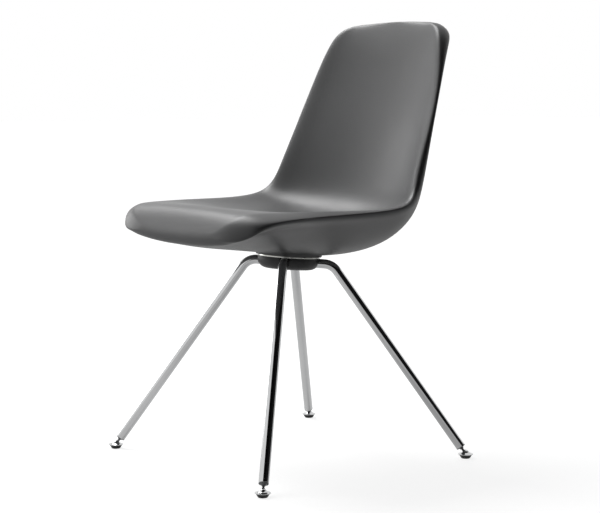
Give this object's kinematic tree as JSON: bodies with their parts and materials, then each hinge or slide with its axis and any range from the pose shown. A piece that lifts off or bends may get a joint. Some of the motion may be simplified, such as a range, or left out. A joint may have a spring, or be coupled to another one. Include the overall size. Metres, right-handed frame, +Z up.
{
  "type": "shell chair",
  "caption": "Moulded soft plastic shell chair with one-piece seat and back, fixed on splayed chromed tube legs with tilting glides.",
  "frame": {"origin": "on the floor, under the middle of the chair's outer box", "axes": "+Z up, the sitter faces -Y, +X to the right seen from the front"},
  "size_m": [0.5134, 0.5452, 0.8379],
  "materials": {
    "shell": "soft touch, fine grain",
    "chrome": "polished",
    "steel": "plain",
    "zinc_steel": "zinc plated",
    "stud_steel": "turned",
    "black_plastic": "satin",
    "grey_plastic": "satin"
  },
  "bodies": {
    "chair": {"seat_shell": "shell", "inner_frame": "steel", "insert_plate": "steel", "threaded_inserts": "steel", "mounting_plate": "zinc_steel", "plate_screws": "zinc_steel", "hub_boss": "steel", "hub_cover": "black_plastic", "cover_screw": "zinc_steel", "leg_front_left": "chrome", "leg_plug_front_left": "grey_plastic", "leg_front_right": "chrome", "leg_plug_front_right": "grey_plastic", "leg_rear_left": "chrome", "leg_plug_rear_left": "grey_plastic", "leg_rear_right": "chrome", "leg_plug_rear_right": "grey_plastic"},
    "stud_front_left": {"ball_stud_front_left": "stud_steel"},
    "glide_front_left": {"glide_cap_front_left": "chrome", "glide_base_front_left": "black_plastic"},
    "stud_front_right": {"ball_stud_front_right": "stud_steel"},
    "glide_front_right": {"glide_cap_front_right": "chrome", "glide_base_front_right": "black_plastic"},
    "stud_rear_left": {"ball_stud_rear_left": "stud_steel"},
    "glide_rear_left": {"glide_cap_rear_left": "chrome", "glide_base_rear_left": "black_plastic"},
    "stud_rear_right": {"ball_stud_rear_right": "stud_steel"},
    "glide_rear_right": {"glide_cap_rear_right": "chrome", "glide_base_rear_right": "black_plastic"}
  },
  "joints": [
    {"name": "foot_turn_front_left", "type": "hinge", "parent": "chair", "child": "stud_front_left", "pos_m": [-0.24254, -0.25517, 0.0085], "axis": [0.4106, 0.4106, 0.8141], "continuous": true},
    {"name": "foot_tilt_front_left", "type": "hinge", "parent": "stud_front_left", "child": "glide_front_left", "pos_m": [-0.24254, -0.25517, 0.0085], "axis": [0.7071, -0.7071, 0], "range_deg": [-12, 12]},
    {"name": "foot_turn_front_right", "type": "hinge", "parent": "chair", "child": "stud_front_right", "pos_m": [0.24254, -0.25517, 0.0085], "axis": [-0.4106, 0.4106, 0.8141], "continuous": true},
    {"name": "foot_tilt_front_right", "type": "hinge", "parent": "stud_front_right", "child": "glide_front_right", "pos_m": [0.24254, -0.25517, 0.0085], "axis": [0.7071, 0.7071, 0], "range_deg": [-12, 12]},
    {"name": "foot_turn_rear_left", "type": "hinge", "parent": "chair", "child": "stud_rear_left", "pos_m": [-0.24254, 0.22991, 0.0085], "axis": [0.4106, -0.4106, 0.8141], "continuous": true},
    {"name": "foot_tilt_rear_left", "type": "hinge", "parent": "stud_rear_left", "child": "glide_rear_left", "pos_m": [-0.24254, 0.22991, 0.0085], "axis": [-0.7071, -0.7071, 0], "range_deg": [-12, 12]},
    {"name": "foot_turn_rear_right", "type": "hinge", "parent": "chair", "child": "stud_rear_right", "pos_m": [0.24254, 0.22991, 0.0085], "axis": [-0.4106, -0.4106, 0.8141], "continuous": true},
    {"name": "foot_tilt_rear_right", "type": "hinge", "parent": "stud_rear_right", "child": "glide_rear_right", "pos_m": [0.24254, 0.22991, 0.0085], "axis": [-0.7071, 0.7071, 0], "range_deg": [-12, 12]}
  ]
}
